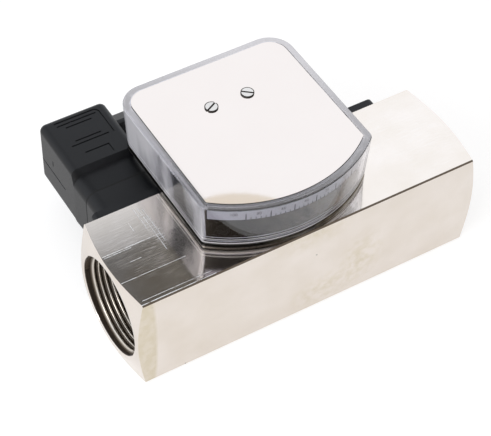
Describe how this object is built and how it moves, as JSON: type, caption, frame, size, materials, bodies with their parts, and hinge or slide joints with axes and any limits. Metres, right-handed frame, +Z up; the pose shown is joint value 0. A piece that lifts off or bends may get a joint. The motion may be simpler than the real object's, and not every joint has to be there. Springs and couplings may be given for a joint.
{
  "type": "variable area flow meter",
  "caption": "Inline piston flow meter: square plated bar with threaded pipe ports, clear indicator head with a magnet-driven pointer, and a contact housing with a cable plug.",
  "frame": {"origin": "centre of the bar's bottom face, below the middle of the flow axis", "axes": "+X along the bar towards the inlet port, +Y to the contact housing at the back, +Z up to the indicator head"},
  "size_m": [0.158, 0.1082, 0.072],
  "materials": {
    "nickel_brass": "nickel-plated brass, milled and bright",
    "stainless": "turned stainless steel",
    "screw_steel": "zinc-plated steel",
    "brass": "turned brass",
    "magnet": "sintered ferrite, ground",
    "aluminium": "satin sheet",
    "rubber": "matt nitrile rubber",
    "clear_plastic": "clear moulded polycarbonate",
    "polished_plate": "polished stainless sheet",
    "scale_plastic": "white printed strip",
    "pointer_black": "black anodised sheet",
    "black_plastic": "black moulded polyamide",
    "insert_plastic": "grey moulded polyamide",
    "reed_glass": "green sealed glass"
  },
  "bodies": {
    "meter_body": {"body": "nickel_brass", "metering_sleeve": "stainless", "inlet_spider": "stainless", "outlet_spider": "stainless", "guide_rod": "screw_steel", "rod_nuts": "screw_steel", "retaining_rings": "screw_steel", "return_spring": "screw_steel", "base_plate_screws": "screw_steel", "pillar_screws": "screw_steel", "lid_screws": "screw_steel", "switch_screws": "screw_steel", "plug_screw": "screw_steel", "plate_screws": "screw_steel", "pillars": "brass", "pivot_bearings": "brass", "contact_pins": "brass", "base_plate": "aluminium", "bearing_bridge": "aluminium", "cover_gasket": "rubber", "plug_seal": "rubber", "gland_seal": "rubber", "clear_cover": "clear_plastic", "top_plate": "polished_plate", "scale_strip": "scale_plastic", "switch_base": "black_plastic", "switch_lid": "black_plastic", "socket": "black_plastic", "plug_hood": "black_plastic", "gland_nut": "black_plastic", "terminal_insert": "insert_plastic"},
    "piston_unit": {"piston": "brass", "piston_magnet": "magnet", "magnet_nut": "brass"},
    "pointer_unit": {"pointer": "pointer_black", "pointer_shaft": "screw_steel", "pointer_magnet": "magnet"},
    "reed_carriage": {"reed_holder": "insert_plastic", "reed_switch": "reed_glass"}
  },
  "joints": [
    {"name": "piston_stroke", "type": "slide", "parent": "meter_body", "child": "piston_unit", "axis": [-1, 0, 0], "range_m": [0, 0.029], "stiffness_N_per_m": 60, "springref_m": -0.012, "deforming": ["return_spring"]},
    {"name": "pointer_swing", "type": "hinge", "parent": "meter_body", "child": "pointer_unit", "pos_m": [-0.0046, 0.0345, 0.05], "axis": [0, 0, -1], "range_deg": [0, 48.4]},
    {"name": "contact_adjust", "type": "slide", "parent": "meter_body", "child": "reed_carriage", "axis": [1, 0, 0], "range_m": [-0.008, 0.008]}
  ],
  "couplings": [
    {"joint": "pointer_swing", "follows": "piston_stroke", "rad_per_m": 28.986}
  ]
}
